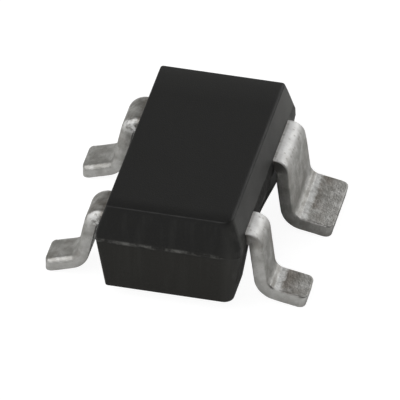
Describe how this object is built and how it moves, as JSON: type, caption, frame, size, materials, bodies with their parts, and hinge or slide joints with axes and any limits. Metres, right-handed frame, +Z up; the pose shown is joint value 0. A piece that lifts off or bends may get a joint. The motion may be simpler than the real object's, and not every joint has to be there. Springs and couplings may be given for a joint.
{
  "type": "voltage detector chip",
  "caption": "Black moulded surface-mount voltage detector chip on bent tin-plated leads, one of them twice as wide as the rest.",
  "frame": {"origin": "middle of the part on the seating plane, where the toes of the leads rest", "axes": "+Z up from the board, +Y along the long side of the moulding, +X towards the side that has the wide lead"},
  "size_m": [0.0022, 0.002, 0.0009],
  "materials": {
    "black_moulding_compound": "fine matte, as moulded",
    "matte_tin_plating": "matte tin plating over copper alloy strip",
    "silicon": "polished",
    "silver_filled_glue": "matte",
    "gold": "bright drawn wire"
  },
  "bodies": {
    "root": {"mould_body": "black_moulding_compound", "lead_wide": "matte_tin_plating", "lead_near_right": "matte_tin_plating", "lead_near_left": "matte_tin_plating", "lead_far_left": "matte_tin_plating", "die_glue": "silver_filled_glue", "silicon_die": "silicon", "bond_wire_near_right": "gold", "bond_wire_near_left": "gold", "bond_wire_far_left": "gold"}
  },
  "joints": []
}
